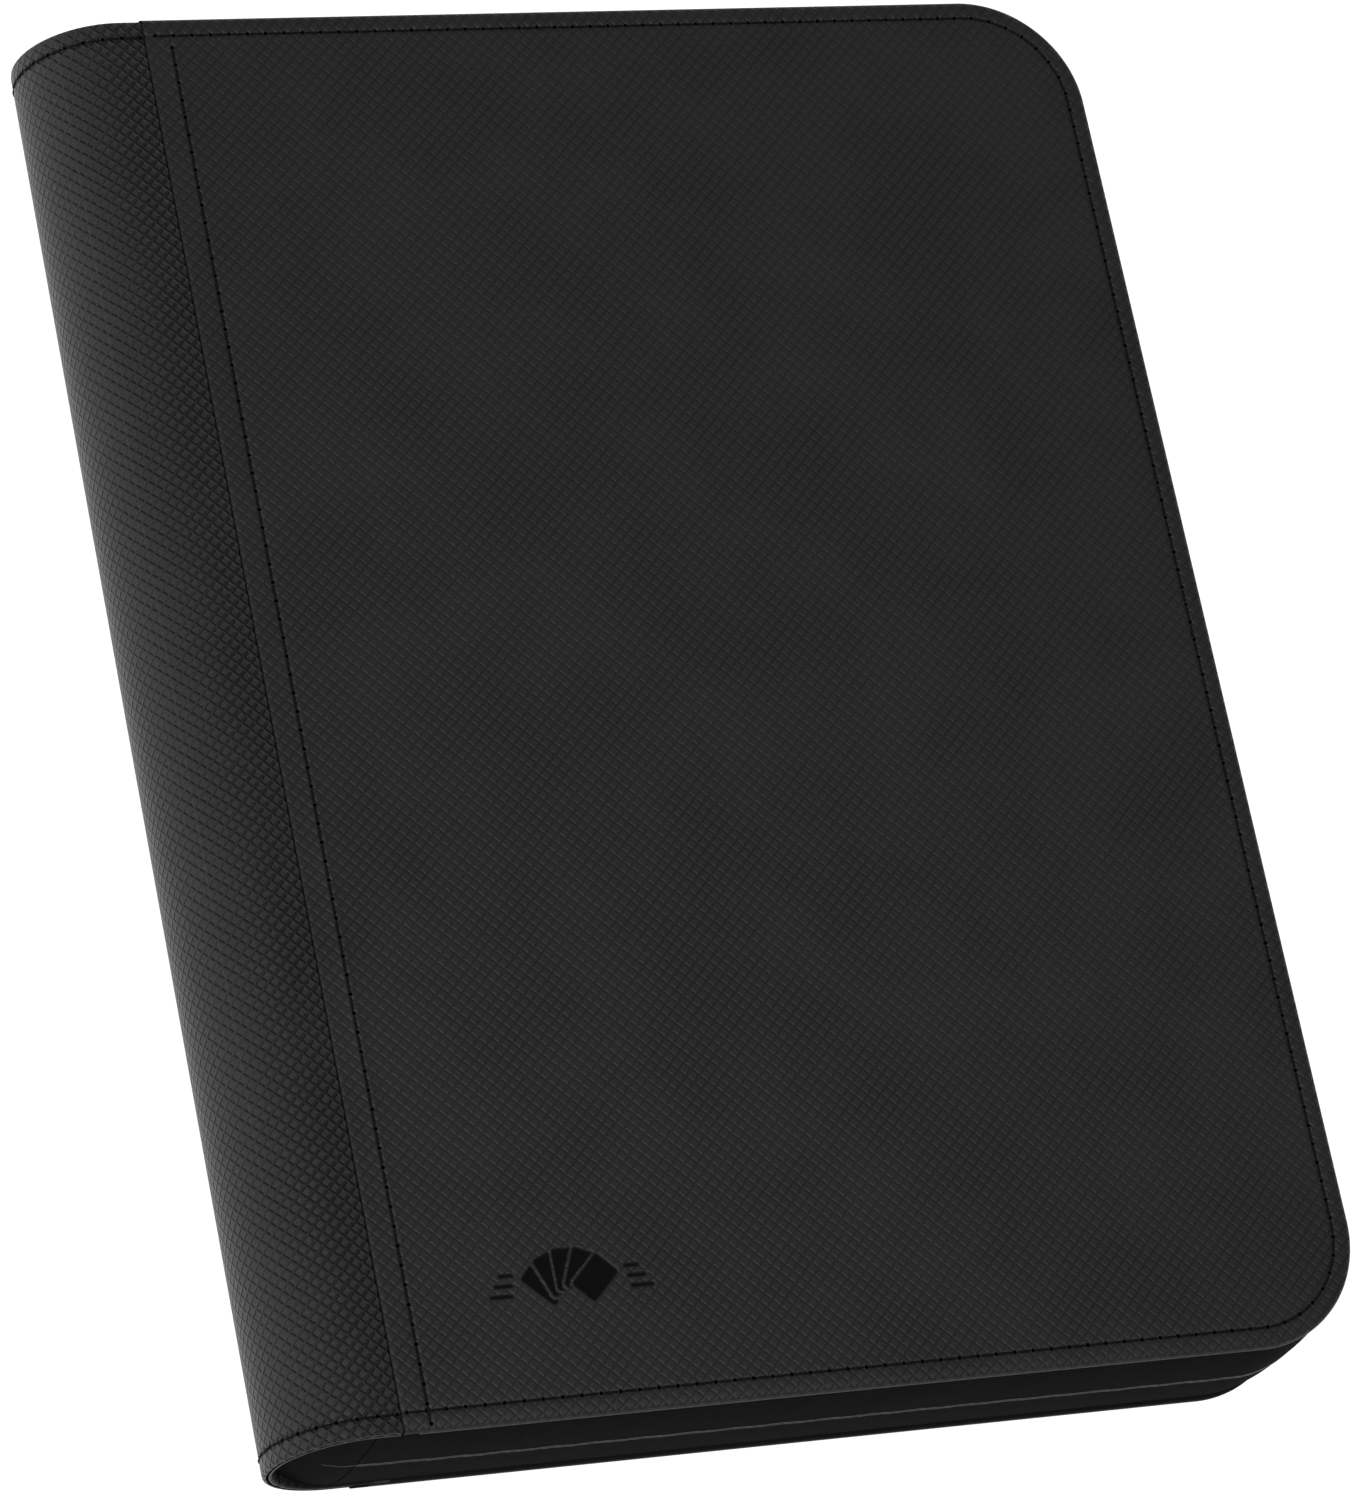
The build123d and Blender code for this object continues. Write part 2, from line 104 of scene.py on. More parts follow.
def make(name, points, faces, uv=None, values=None):
    """A smooth mesh from points in millimetres, with UVs in millimetres too."""
    mesh = bpy.data.meshes.new(name)
    points = np.asarray(points, float)
    faces = np.asarray(faces, int)
    size = faces.shape[1]
    mesh.vertices.add(len(points))
    mesh.vertices.foreach_set("co", (points / 1000).astype(np.float32).ravel())
    mesh.loops.add(faces.size)
    mesh.loops.foreach_set("vertex_index", faces.ravel().astype(np.int32))
    mesh.polygons.add(len(faces))
    mesh.polygons.foreach_set("loop_start", np.arange(0, faces.size, size, dtype=np.int32))
    mesh.update(calc_edges=True)
    mesh.validate()
    mesh.polygons.foreach_set("use_smooth", np.ones(len(mesh.polygons), bool))
    if uv is not None:
        layer = mesh.uv_layers.new(name="UVMap")
        layer.data.foreach_set("uv", np.asarray(uv, np.float32)[faces.ravel()].ravel())
    # The values fill a point attribute: the pressed logo's depth, and the painted shade on the seam's fold
    # and the turned edges.
    if values is not None:
        mark_and_painted_shade = mesh.attributes.new("mark_and_painted_shade", "FLOAT", "POINT")
        mark_and_painted_shade.data.foreach_set("value", np.asarray(values, np.float32))
    o = bpy.data.objects.new(name, mesh)
    bpy.context.scene.collection.objects.link(o)
    return o


def quads(rows, columns, ring=False):
    """Faces of a grid of points stored row by row. ring joins the last column to the first."""
    wide = columns if ring else columns - 1
    i, j = np.meshgrid(np.arange(rows - 1), np.arange(wide), indexing="ij")
    k = (j + 1) % columns
    a, b = i * columns + j, i * columns + k
    return np.stack([a, b, b + columns, a + columns], -1).reshape(-1, 4)


def flip(faces):
    return np.asarray(faces)[:, ::-1]


def mirror(points):
    """The same place on the other cover."""
    out = np.array(points, float)
    out[:, 2] = 2 * MID - out[:, 2]
    return out


def tube(path, radius, sides=8):
    """A round tube along a path. The radius can change along it."""
    path = np.asarray(path, float)
    along = np.gradient(path, axis=0)
    along /= np.linalg.norm(along, axis=1)[:, None]
    up = np.tile([0.0, 0.0, 1.0], (len(path), 1))
    up[np.abs(along[:, 2]) > 0.95] = (1.0, 0.0, 0.0)
    side = np.cross(along, up)
    side /= np.linalg.norm(side, axis=1)[:, None]
    up = np.cross(side, along)
    turn = np.linspace(0, 2 * math.pi, sides, endpoint=False)
    r = np.broadcast_to(np.asarray(radius, float), (len(path),))[:, None, None]
    ring = np.cos(turn)[None, :, None] * side[:, None] + np.sin(turn)[None, :, None] * up[:, None]
    points = (path[:, None] + r * ring).reshape(-1, 3)
    s = way_along(path)
    uv = np.stack([np.repeat(s, sides), np.tile(turn * 0.5, len(path))], 1)
    return points, quads(len(path), sides, True), uv


def way_along(path):
    """The length from the path's start to each of its points."""
    return np.r_[0, np.cumsum(np.linalg.norm(np.diff(path, axis=0), axis=1))]


def join(parts):
    """Several meshes as one."""
    points, faces, uvs, start = [], [], [], 0
    for p, f, u in parts:
        points.append(p)
        faces.append(np.asarray(f) + start)
        uvs.append(u)
        start += len(p)
    return np.concatenate(points), np.concatenate(faces), np.concatenate(uvs)


# ---------- materials ----------

class Finish:
    """A procedural material, with short names for the nodes it needs."""

    def __init__(self, name):
        self.m = bpy.data.materials.new(name)
        self.m.use_nodes = True
        self.t = self.m.node_tree
        self.bsdf = self.t.nodes["Principled BSDF"]

    def node(self, kind, **settings):
        n = self.t.nodes.new(kind)
        for k, v in settings.items():
            setattr(n, k, v)
        return n

    def put(self, socket, value):
        if isinstance(value, bpy.types.NodeSocket):
            self.t.links.new(value, socket)
        else:
            socket.default_value = value

    def math(self, operation, *values):
        n = self.node("ShaderNodeMath", operation=operation)
        for i, v in enumerate(values):
            self.put(n.inputs[i], v)
        return n.outputs[0]

    def uv(self):
        return self.node("ShaderNodeUVMap", uv_map="UVMap").outputs[0]

    def place(self):
        """The place on the piece, in millimetres."""
        n = self.node("ShaderNodeTexCoord").outputs["Object"]
        s = self.node("ShaderNodeVectorMath", operation="SCALE")
        self.put(s.inputs[0], n)
        s.inputs["Scale"].default_value = 1000
        return s.outputs[0]

    def split(self, vector):
        n = self.node("ShaderNodeSeparateXYZ")
        self.put(n.inputs[0], vector)
        return n.outputs

    def noise(self, vector, scale, detail=3.0, rough=0.55):
        n = self.node("ShaderNodeTexNoise")
        self.put(n.inputs["Vector"], vector)
        n.inputs["Scale"].default_value = scale
        n.inputs["Detail"].default_value = detail
        n.inputs["Roughness"].default_value = rough
        return n.outputs[0]

    def cells(self, vector, scale):
        n = self.node("ShaderNodeTexVoronoi")
        self.put(n.inputs["Vector"], vector)
        n.inputs["Scale"].default_value = scale
        return n.outputs[0]

    def remap(self, value, a, b, c, d):
        n = self.node("ShaderNodeMapRange", interpolation_type="SMOOTHSTEP")
        self.put(n.inputs[0], value)
        for i, v in enumerate((a, b, c, d)):
            self.put(n.inputs[i + 1], v)
        return n.outputs[0]

    def mix(self, share, a, b):
        n = self.node("ShaderNodeMix", data_type="RGBA")
        self.put(n.inputs[0], share)
        self.put(n.inputs[6], (*a, 1.0) if isinstance(a, tuple) else a)
        self.put(n.inputs[7], (*b, 1.0) if isinstance(b, tuple) else b)
        return n.outputs[2]

    def bump(self, height, distance_mm):
        n = self.node("ShaderNodeBump")
        n.inputs["Strength"].default_value = 1.0
        n.inputs["Distance"].default_value = distance_mm / 1000
        self.put(n.inputs["Height"], height)
        self.put(self.bsdf.inputs["Normal"], n.outputs[0])

    def done(self, color, roughness, specular=0.5, metallic=0.0, sheen=0.0):
        self.put(self.bsdf.inputs["Base Color"], color)
        self.put(self.bsdf.inputs["Roughness"], roughness)
        self.put(self.bsdf.inputs["Specular IOR Level"], specular)
        self.bsdf.inputs["Metallic"].default_value = metallic
        self.bsdf.inputs["Sheen Weight"].default_value = sheen
        return self.m


def leather(name, depth):
    """Black synthetic leather, embossed with small tiles on the diagonal. depth is in millimetres."""
    f = Finish(name)
    uv = f.uv()
    u, v, _ = f.split(uv)
    wander = f.math("MULTIPLY", f.math("SUBTRACT", f.noise(uv, 0.35, 1.0), 0.5), 0.35)
    edge = []
    for sign in ("ADD", "SUBTRACT"):
        turned = f.math("DIVIDE", f.math("ADD", f.math(sign, u, v), wander), TILE_PITCH * math.sqrt(2))
        cell = f.math("FRACT", turned)
        edge.append(f.math("SUBTRACT", 0.5, f.math("ABSOLUTE", f.math("SUBTRACT", cell, 0.5))))
    near = f.math("MINIMUM", edge[0], edge[1])
    tile = f.remap(near, 0.0, 0.24, 0.0, 1.0)
    mark_and_painted_shade = f.node("ShaderNodeAttribute", attribute_name="mark_and_painted_shade").outputs["Fac"]
    plain = f.math("SUBTRACT", 1.0, mark_and_painted_shade)
    grain = f.noise(uv, 2.4, 5.0, 0.65)
    pores = f.cells(uv, 1.6)
    height = f.math("MULTIPLY", tile, plain)
    height = f.math("ADD", height, f.math("MULTIPLY", f.math("MULTIPLY", grain, plain), 0.35))
    height = f.math("ADD", height, f.math("MULTIPLY", f.math("MULTIPLY", pores, plain), 0.12))
    f.bump(height, depth)
    # Painted shade: the grooves between the tiles get a darker colour than the tile tops.
    painted_groove_shade = f.mix(tile, (0.0105, 0.0105, 0.0107), (0.0185, 0.0185, 0.0187))
    # Then lighter patches at random, as wear, over the painted shade in the grooves.
    cloudy = f.remap(f.noise(uv, 0.03, 2.0), 0.3, 0.7, 0.0, 1.0)
    worn_and_groove_shade = f.mix(cloudy, painted_groove_shade, f.mix(0.5, painted_groove_shade, (0.0225, 0.0225, 0.0228)))
    # Painted shade: where the attribute is 1 the leather turns near black, for the pressed logo and for the
    # painted shade at the seam's fold and the turned edges.
    color = f.mix(mark_and_painted_shade, worn_and_groove_shade, (0.0035, 0.0035, 0.0036))
    rough = f.math("ADD", f.remap(grain, 0.3, 0.7, 0.36, 0.47), f.math("MULTIPLY", mark_and_painted_shade, 0.2))
    return f.done(color, rough, f.math("SUBTRACT", 0.27, f.math("MULTIPLY", mark_and_painted_shade, 0.22)))


def tape_cloth():
    """Dense woven zip tape with faint ribs along it."""
    f = Finish("tape_cloth")
    uv = f.uv()
    u, v, _ = f.split(uv)
    rib = f.math("SINE", f.math("MULTIPLY", v, 2 * math.pi / 0.95))
    weft = f.math("SINE", f.math("MULTIPLY", u, 2 * math.pi / 0.55))
    fuzz = f.noise(uv, 3.0, 4.0)
    crossing = f.math("MULTIPLY", f.math("MULTIPLY", weft, rib), 0.3)
    weave = f.math("ADD", f.math("MULTIPLY", rib, 0.5), crossing)
    f.bump(f.math("ADD", weave, fuzz), 0.05)
    shade = f.remap(f.math("ADD", f.math("MULTIPLY", rib, 0.25), fuzz), 0.2, 0.9, 0.0, 1.0)
    color = f.mix(shade, (0.0042, 0.0042, 0.0043), (0.0085, 0.0085, 0.0087))
    return f.done(color, f.remap(fuzz, 0.3, 0.7, 0.8, 0.95), 0.012)


def lining_cloth():
    """Plain woven lining."""
    f = Finish("lining_cloth")
    uv = f.uv()
    u, v, _ = f.split(uv)
    warp = f.math("SINE", f.math("MULTIPLY", u, 2 * math.pi / 0.8))
    weft = f.math("SINE", f.math("MULTIPLY", v, 2 * math.pi / 0.8))
    weave = f.math("MULTIPLY", warp, weft)
    fuzz = f.noise(uv, 2.0, 4.0)
    f.bump(f.math("ADD", f.math("MULTIPLY", weave, 0.5), fuzz), 0.06)
    shade = f.remap(f.math("ADD", f.math("MULTIPLY", weave, 0.3), fuzz), 0.1, 1.0, 0.0, 1.0)
    color = f.mix(shade, (0.011, 0.011, 0.0115), (0.026, 0.026, 0.027))
    return f.done(color, f.remap(fuzz, 0.3, 0.7, 0.75, 0.9), 0.2, sheen=0.05)


def thread_finish():
    """Twisted sewing thread."""
    f = Finish("thread")
    u, v, _ = f.split(f.uv())
    turns = f.math("ADD", f.math("MULTIPLY", u, 2 * math.pi / 0.7), f.math("MULTIPLY", v, 4.0))
    twist = f.math("SINE", turns)
    fuzz = f.noise(f.uv(), 4.0, 3.0)
    f.bump(f.math("ADD", twist, fuzz), 0.05)
    shade = f.remap(twist, -1.0, 1.0, 0.0, 1.0)
    color = f.mix(shade, (0.003, 0.003, 0.0031), (0.008, 0.008, 0.0082))
    return f.done(color, f.remap(fuzz, 0.3, 0.7, 0.6, 0.75), 0.1)


def coil_plastic():
    """Wound filament of the zip, satin."""
    f = Finish("coil_filament")
    uv = f.uv()
    scuff = f.noise(uv, 0.8, 3.0)
    f.bump(scuff, 0.02)
    color = f.mix(scuff, (0.006, 0.006, 0.0062), (0.014, 0.014, 0.0145))
    return f.done(color, f.remap(scuff, 0.3, 0.7, 0.3, 0.44), 0.2)


def black_metal():
    """Black painted zip metal with fine wear."""
    f = Finish("black_metal")
    at = f.place()
    peel = f.noise(at, 0.9, 2.0)
    fine = f.noise(at, 5.0, 4.0)
    f.bump(f.math("ADD", peel, f.math("MULTIPLY", fine, 0.3)), 0.03)
    scratch = f.remap(fine, 0.62, 0.7, 0.0, 1.0)
    color = f.mix(scratch, (0.006, 0.006, 0.0065), (0.02, 0.02, 0.021))
    return f.done(color, f.remap(peel, 0.3, 0.7, 0.3, 0.45), 0.35)


def rubber():
    """Soft grip with fine ribs across it."""
    f = Finish("grip_rubber")
    at = f.place()
    x = f.split(at)[0]
    rib = f.math("SINE", f.math("MULTIPLY", x, 2 * math.pi / 2.0))
    fine = f.noise(at, 3.0, 4.0)
    f.bump(f.math("ADD", rib, f.math("MULTIPLY", fine, 0.4)), 0.12)
    color = f.mix(fine, (0.008, 0.008, 0.0083), (0.016, 0.016, 0.0165))
    return f.done(color, f.remap(fine, 0.3, 0.7, 0.6, 0.75), 0.3)


def page_film():
    """Dark page core under clear pocket film, with pressed weld lines round each pocket, ripples and dust."""
    f = Finish("page_film")
    at = f.place()
    x, y, _ = f.split(at)
    seams = []
    for along, across, start, period in ((x, y, PAGE_FREE - 4.0, 71.0), (y, x, 48.0, 96.0)):
        cell = f.math("FRACT", f.math("DIVIDE", f.math("SUBTRACT", along, start - 200 * period), period))
        off_middle = f.math("ABSOLUTE", f.math("SUBTRACT", cell, 0.5))
        near = f.math("MULTIPLY", f.math("SUBTRACT", 0.5, off_middle), period)
        tooth = f.math("SINE", f.math("MULTIPLY", across, 2 * math.pi / 1.3))
        pressed = f.math("ADD", 0.6, f.math("MULTIPLY", tooth, 0.4))
        seams.append(f.math("MULTIPLY", f.remap(near, 0.9, 1.5, 1.0, 0.0), pressed))
    weld = f.math("MAXIMUM", seams[0], seams[1])
    ripple = f.noise(at, 0.03, 2.0)
    grain = f.noise(at, 1.4, 4.0)
    f.bump(f.math("ADD", f.math("ADD", ripple, weld), f.math("MULTIPLY", grain, 0.15)), 0.3)
    dust = f.remap(grain, 0.55, 0.78, 0.0, 1.0)
    core = f.mix(dust, (0.016, 0.016, 0.0165), (0.034, 0.034, 0.035))
    return f.done(f.mix(weld, core, (0.03, 0.03, 0.031)), f.remap(grain, 0.3, 0.7, 0.3, 0.44), 0.4)


def speckled(name, dark, light, rough, scale=1.2, bump_mm=0.04, metallic=0.0, specular=0.4):
    """Board, plastic or metal with a fine mottled grain."""
    f = Finish(name)
    at = f.place()
    grain = f.noise(at, scale, 5.0)
    f.bump(grain, bump_mm)
    roughness = f.remap(grain, 0.3, 0.7, rough - 0.06, rough + 0.08)
    return f.done(f.mix(grain, dark, light), roughness, specular, metallic)


LEATHER = leather("embossed_leather", 0.085)
BENT_LEATHER = leather("embossed_leather_bent", 0.42)  # the grain opens where the wrap bends
TAPE = tape_cloth()
LINING = lining_cloth()
THREAD = thread_finish()
COIL = coil_plastic()
METAL = black_metal()
RUBBER = rubber()
FILM = page_film()
BOARD = speckled("paperboard", (0.20, 0.18, 0.155), (0.36, 0.33, 0.29), 0.85)
STIFF = speckled("stiffener", (0.03, 0.03, 0.031), (0.06, 0.06, 0.062), 0.6)
BINDING = speckled("binding_plastic", (0.012, 0.012, 0.0125), (0.026, 0.026, 0.027), 0.42, 2.5)
STEEL = speckled("rivet_steel", (0.42, 0.42, 0.43), (0.66, 0.66, 0.67), 0.3, 4.0, 0.01, 1.0)
# Near-black finish for the discs that stand in for needle holes: painted shade.
HOLE_SHADE = speckled("needle_hole_shade", (0.0006, 0.0006, 0.0006), (0.0016, 0.0016, 0.0016), 0.9, specular=0.01)


def dress(o, material, slot):
    """Gives a piece its material. The slot argument is not used."""
    o.data.materials.clear()
    o.data.materials.append(material)
    return o


# ---------- the two outer panels ----------

# Inset from the outline and depth below the panel's face, from the turned-in edge to the flat.
RINGS = [(6.6, 2.72), (1.3, 2.72), (0.5, 2.69), (0.14, 2.5), (0.0, 2.1), (0.0, 1.6), (0.05, 1.2)]
RINGS += [(0.17, 0.86), (0.38, 0.58), (0.7, 0.37), (1.15, 0.21), (1.8, 0.1), (2.6, 0.03), (3.5, 0.0)]
RINGS += [(4.0, 0.05), (4.35, 0.17), (4.7, 0.24), (5.05, 0.17), (5.4, 0.05), (6.0, 0.0), (7.5, 0.0)]
RINGS += [(v, 0.0) for v in (10, 14, 19, *np.arange(24.1, 28.3, 0.3).round(2), CORNER)]
# Offset from the seam and depth, from the turned-under edge to the flat.
SEAM_FOLD = [(4.0, 0.88), (0.35, 0.88), (0.06, 0.76), (0.0, 0.52), (0.06, 0.28), (0.25, 0.1), (0.7, 0.0)]
SEAM_FOLD += [(1.6, 0.0), (3.5, 0.0), (5.6, 0.0), (5.9, 0.04), (6.2, 0.14), (6.5, 0.2), (6.8, 0.14)]
SEAM_FOLD += [(7.1, 0.04), (7.5, 0.0), (10, 0.0), (14, 0.0), (18.5, 0.0)]
MARK_X, MARK_Y = SEAM + 45.5, -149.2
MARK_SINK = 0.24


def mark_depth(x, y):
    """How far the pressed logo is sunk, from 0 to 1: five plain cards in a fan, with bars beside it."""
    done = np.zeros_like(x)
    for angle in (46, 23, 0, -23, -46):
        a = math.radians(angle)
        lx = (x - MARK_X) * math.cos(a) + (y - MARK_Y) * math.sin(a)
        ly = -(x - MARK_X) * math.sin(a) + (y - MARK_Y) * math.cos(a) - 8.4
        d = np.hypot(np.maximum(np.abs(lx) - 2.5, 0), np.maximum(np.abs(ly) - 4.1, 0)) - 0.9
        inside = smooth((0.1 - d) / 0.4)
        done = np.where(d < 0.7, np.where(d < 0.15, inside, np.minimum(done, 0.0)), done)
    for side in (-1, 1):
        for k in range(3):
            lx, ly = x - MARK_X - side * (16.9 - 0.9 * k), y - MARK_Y - 3.2 - 2.4 * k
            d = np.hypot(np.maximum(np.abs(lx) - 2.4 + 0.5 * k, 0), ly) - 0.55
            done = np.maximum(done, smooth((0.1 - d) / 0.4))
    return done


def edge_shade(depth):
    """How much painted shade darkens a turned edge, by its depth below the face."""
    return 0.75 * smooth((depth - 0.35) / 0.8)


def outer_panel(marked):
    """An outer panel as one turned-in sheet of leather, seen from outside, for the front cover."""
    count = len(RINGS)
    near_seam = np.arange(SEAM + 24, FORE - CORNER - 2, 0.3 if marked else 6)
    near_seam = near_seam[near_seam < SEAM + (68 if marked else 70)]
    flat = np.r_[near_seam, np.arange(SEAM + 70, FORE - CORNER - 2, 4)]
    columns = [(SEAM + o, d, -1) for o, d in SEAM_FOLD] + [(x, 0.0, -1) for x in flat]
    columns += [(FORE - RINGS[k][0], RINGS[k][1], k) for k in range(count - 1, -1, -1)]
    inner = np.r_[np.arange(CORNER - HALF + 0.3, -133, 0.3), np.arange(-132, HALF - CORNER - 2, 4)]
    if not marked:
        inner = np.arange(CORNER - HALF + 4, HALF - CORNER - 2, 4)
    rows = [(-1, RINGS[k][0] - HALF, RINGS[k][1], k) for k in range(count)]
    rows += [(0, y, 0.0, -1) for y in inner]
    rows += [(1, HALF - RINGS[k][0], RINGS[k][1], k) for k in range(count - 1, -1, -1)]
    points = np.zeros((len(rows), len(columns), 3))
    for j, (side, y, row_depth, kr) in enumerate(rows):
        for i, (x, column_depth, kc) in enumerate(columns):
            if kr >= 0 and kc >= 0:
                a, b = 1 - kc / (count - 1), 1 - kr / (count - 1)
                k = min(kr, kc)
                r = CORNER - RINGS[k][0]
                share = 0.0 if max(a, b) == 0 else min(a, b) / max(a, b)
                turn = math.pi / 4 * share if a >= b else math.pi / 2 - math.pi / 4 * share
                px, py = FORE - CORNER + r * math.cos(turn), HALF - CORNER + r * math.sin(turn)
                points[j, i] = (px, side * py, TOP - RINGS[k][1])
            else:
                points[j, i] = (x, y, TOP - max(row_depth, column_depth))
    points = points.reshape(-1, 3)
    top = points[:, 2] > TOP - 0.01
    sunk = mark_depth(points[:, 0], points[:, 1]) * top if marked else np.zeros(len(points))
    points[:, 2] -= MARK_SINK * sunk * top
    # Painted shade: the panel's turned-under fold at the seam is darkened in its colour along the seam line.
    at_seam = (points[:, 0] < SEAM + 0.5) & (np.abs(points[:, 1]) < HALF - 0.2)
    sunk = np.maximum(sunk, at_seam * smooth((TOP - points[:, 2] - 0.03) / 0.2))
    # Painted shade on the turned edges round the panel.
    sunk = np.maximum(sunk, edge_shade(TOP - points[:, 2]))
    swell = np.sin(points[:, 0] / 31 + 1.3) * np.sin(points[:, 1] / 43)
    points[:, 2] -= 0.05 * (1 + swell) * top
    uv = points[:, :2].copy()
    edge = points[:, 2] < TOP - 0.3
    uv[edge, 0] += (TOP - points[edge, 2]) * 0.8
    faces = quads(len(rows), len(columns))
    return points, faces, uv, sunk


for side in ("front", "back"):
    points, faces, uv, sunk = outer_panel(side == "front")
    if side == "back":
        points, faces = mirror(points), flip(faces)
    panel = dress(make(f"{side}_panel", points, faces, uv, sunk), LEATHER, "skin")
    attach(panel, side)
    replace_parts(panel, f"{side}_skin")


# ---------- the spine's wrap and lining ----------

def at_angle(r, angle):
    """X and Z on the spine's cross-section. 270 is at the back cover and 90 at the front."""
    a = np.radians(angle)
    return SPINE + r * np.cos(a), MID + r * np.sin(a)


def section(first, last, flat_to=None, lap=0.0, step=1.25):
    """One piece of the wrap: X over the cover's flat, angles round the spine, and how far points tuck in."""
    count = max(2, int(abs(last - first) / step) + 1)
    angle = list(np.linspace(first, last, count))
    x_flat = [] if flat_to is None else list(np.linspace(flat_to, SPINE, 8)[:-1])
    tuck = [0.0] * (len(x_flat) + len(angle))
    if lap:
        extra = math.copysign(math.degrees(lap / RADIUS), last - first)
        angle += [last + extra * s for s in (0.04, 0.3, 0.65, 1.0)]
        tuck += [0.1, 0.14, 0.16, 0.18]
    return x_flat, np.array(angle), np.array(tuck)


def wrap_points(x_flat, angle, tuck, r, rows, bottom):
    """Points of a wrap piece, with its ends turned in over the layers at the head and the tail."""
    out, uv = [], []
    sign = 1 if bottom else -1
    start = 270 if bottom else 90
    for y, drop, v in rows:
        radius = r - drop
        z = MID - sign * radius
        flat = [(x, y, z) for x in x_flat]
        px, pz = at_angle(radius - tuck[len(x_flat):], angle)
        out += flat + [(a, y, b) for a, b in zip(px, pz)]
        along = list(x_flat) + list(SPINE - np.radians(np.abs(start - angle)) * RADIUS)
        uv += [(a, v) for a in along]
    return np.array(out), np.array(uv)


def wrap_rows(end):
    """Rows from tail to head: place, depth below the face, and way along."""
    edge = [(9.0, 2.34), (0.4, 2.34), (0.05, 2.1), (0.0, 1.5), (0.0, 0.8), (0.08, 0.4), (0.3, 0.16)]
    edge += [(0.8, 0.03), (1.6, 0.0), (3.4, 0.0), (3.8, 0.05), (4.15, 0.17), (4.5, 0.22), (4.85, 0.17)]
    edge += [(5.2, 0.05), (5.7, 0.0), (7.5, 0.0)]
    tail = [(-end + a, d) for a, d in edge]
    middle = [(y, 0.0) for y in np.linspace(-end + 10, end - 10, 110)]
    head = [(-y, d) for y, d in tail[::-1]]
    path = np.array(tail + middle + head)
    v = way_along(path)
    return [(y, d, s - v[-1] / 2) for (y, d), s in zip(path, v)]


def bend(o, a, b, first, last):
    """Bakes a piece's transform into its mesh. The bodies and angles are not used."""
    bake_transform(o)


# name, body before, body after, first and last angle, blend angles, whether it runs on over a cover, lap,
# layers it stands for
WRAP = [
    ("back", "back", "stave_1", 270, 225, (264, 231), True, 1.6, ["back_spine_skin_flap", "spine_skin_1"]),
    ("low", "spine", "stave_2", 180, 225, (186, 219), False, 0.0, ["spine_skin_2", "spine_skin_3"]),
    ("high", "spine", "stave_4", 180, 135, (174, 141), False, 0.0, ["spine_skin_4"]),
    ("front", "front", "stave_5", 90, 135, (96, 129), True, 1.6, ["front_spine_skin_flap", "spine_skin_5"]),
]
ROWS = wrap_rows(SPINE_END)
LINING_ROWS = [(y, 0.0, y) for y in np.linspace(-SPINE_END + 8, SPINE_END - 8, 90)]

def stitches(path, normal, offset=0.0):
    """Thread stitches along a path of points, at a fixed pitch, with near-black discs of painted shade for
    the needle holes.
    """
    path, normal = np.asarray(path, float), np.asarray(normal, float)
    s = way_along(path)
    at = lambda w: np.stack([np.interp(w, s, path[:, i]) for i in range(3)], -1)
    up = lambda w: np.stack([np.interp(w, s, normal[:, i]) for i in range(3)], -1)
    threads, holes = [], []
    count = int((s[-1] - offset) / STITCH_PITCH)
    for k in range(count):
        a = offset + k * STITCH_PITCH + STITCH_GAP / 2
        w = np.linspace(a, a + STITCH_PITCH - STITCH_GAP, 9)
        t = np.linspace(-1, 1, 9)
        jitter = rng.normal(0, 0.03)
        line = at(w) + up(w) * (0.02 + 0.15 * (1 - t**4) + jitter)[:, None]
        threads.append(tube(line, THREAD_RADIUS * np.sqrt(np.maximum(1 - t**6, 0.05)), 7))
    for k in range(count + 1):
        here = np.array([offset + k * STITCH_PITCH])
        c, n = at(here)[0], up(here)[0]
        n = n / np.linalg.norm(n)
        e = np.cross(n, (0, 1, 0.3))
        e /= np.linalg.norm(e)
        g = np.cross(n, e)
        # Each needle hole is a near-black dished disc laid just over the surface: painted shade, not a real
        # hole.
        turn = np.linspace(0, 2 * math.pi, 10, endpoint=False)
        rim = c + HOLE_RADIUS * (np.cos(turn)[:, None] * e + np.sin(turn)[:, None] * g) + 0.25 * n
        centre = c + 0.2 * n
        pts = np.vstack([rim, (rim + centre) / 2 + 0.02 * n, centre + 0.001 * (rim - centre)])
        holes.append((pts, quads(3, 10, True), pts[:, :2]))
    return threads, holes


def sew(name, rows, body=None, bent=None):
    """Makes one thread object and one object of near-black needle-hole discs (painted shade) from rows of
    stitches.
    """
    threads = [t for row in rows for t in row[0]]
    holes = [h for row in rows for h in row[1]]
    for suffix, parts, material in (("thread", threads, THREAD), ("holes", holes, HOLE_SHADE)):
        if not parts:
            continue
        p, f, u = join(parts)
        o = dress(make(f"{name}_{suffix}", p, f, u), material, "skin")
        if bent:
            bend(o, *bent)
        else:
            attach(o, body)


